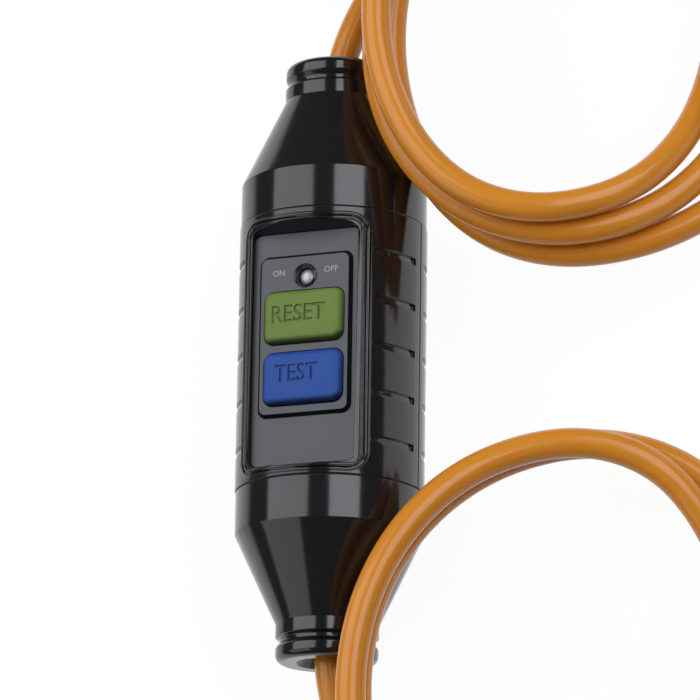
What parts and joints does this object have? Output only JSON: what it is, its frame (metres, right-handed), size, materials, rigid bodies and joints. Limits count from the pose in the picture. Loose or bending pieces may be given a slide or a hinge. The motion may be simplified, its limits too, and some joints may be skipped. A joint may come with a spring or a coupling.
{
  "type": "rcd extension lead",
  "caption": "Tubular black in-line residual current device with coned ends, a flat panel with a green reset and a blue test button, and orange cord coiled to an earthed plug and coupler.",
  "frame": {"origin": "bottom centre of the housing, on its flat back", "axes": "+Y towards the supply end, +Z out of the button panel, +X to the side where the coils lie"},
  "size_m": [0.2187, 0.4183, 0.072],
  "materials": {
    "housing_black": "gloss",
    "panel_grey": "satin",
    "button_green": "matte",
    "button_blue": "matte",
    "cord_orange": "satin",
    "rubber_black": "matte",
    "lens_clear": "gloss",
    "flag_paint": "matte",
    "inner_plastic": "matte",
    "board_green": "satin",
    "copper_brown": "satin",
    "brass": "polished",
    "steel": "brushed",
    "wire_insulation": "satin",
    "plug_black": "satin"
  },
  "bodies": {
    "root": {"back_shell": "housing_black", "board_parts": "inner_plastic", "board_screws": "steel", "button_guide": "inner_plastic", "carrier_spring": "steel", "circuit_board": "board_green", "clamp_screws": "steel", "face_plate": "panel_grey", "fixed_contacts": "brass", "front_shell": "housing_black", "housing_screws": "steel", "outlet_cap_ring": "rubber_black", "outlet_conductors": "wire_insulation", "outlet_cord_clamp": "inner_plastic", "outlet_cord_coil": "cord_orange", "outlet_cord_lead": "cord_orange", "outlet_cord_seal": "rubber_black", "outlet_cord_tail": "cord_orange", "outlet_end_cap": "housing_black", "outlet_sheath": "cord_orange", "outlet_terminals": "inner_plastic", "plug_body": "plug_black", "plug_earth_strips": "brass", "plug_pins": "brass", "plug_sleeve": "plug_black", "relay_coil": "copper_brown", "relay_yoke": "steel", "reset_contact": "brass", "reset_spring": "steel", "sensing_coil": "copper_brown", "shell_gasket": "rubber_black", "socket_body": "plug_black", "socket_earth_clips": "brass", "socket_insert": "inner_plastic", "socket_sleeve": "plug_black", "supply_cap_ring": "rubber_black", "supply_conductors": "wire_insulation", "supply_cord_clamp": "inner_plastic", "supply_cord_coil": "cord_orange", "supply_cord_lead": "cord_orange", "supply_cord_seal": "rubber_black", "supply_cord_tail": "cord_orange", "supply_end_cap": "housing_black", "supply_sheath": "cord_orange", "supply_terminals": "inner_plastic", "terminal_screws": "steel", "test_contact": "brass", "test_spring": "steel", "window_lens": "lens_clear", "window_ring": "housing_black"},
    "reset": {"reset_button": "button_green"},
    "test": {"test_button": "button_blue"},
    "contacts": {"contact_carrier": "inner_plastic", "moving_contacts": "brass", "relay_plunger": "steel"},
    "state_flag": {"flag": "flag_paint"}
  },
  "joints": [
    {"name": "reset_press", "type": "slide", "parent": "root", "child": "reset", "axis": [0, 0, -1], "range_m": [0, 0.0025], "stiffness_N_per_m": 600, "springref_m": -0.001, "deforming": ["reset_spring"]},
    {"name": "test_press", "type": "slide", "parent": "root", "child": "test", "axis": [0, 0, -1], "range_m": [0, 0.0025], "stiffness_N_per_m": 600, "springref_m": -0.001, "deforming": ["test_spring"]},
    {"name": "contact_close", "type": "slide", "parent": "root", "child": "contacts", "axis": [0, 0, -1], "range_m": [0, 0.0025], "stiffness_N_per_m": 300, "springref_m": -0.001, "deforming": ["carrier_spring"]},
    {"name": "flag_slide", "type": "slide", "parent": "root", "child": "state_flag", "axis": [1, 0, 0], "range_m": [0, 0.007]}
  ],
  "couplings": [
    {"joint": "flag_slide", "follows": "contact_close", "ratio": 2.8}
  ]
}
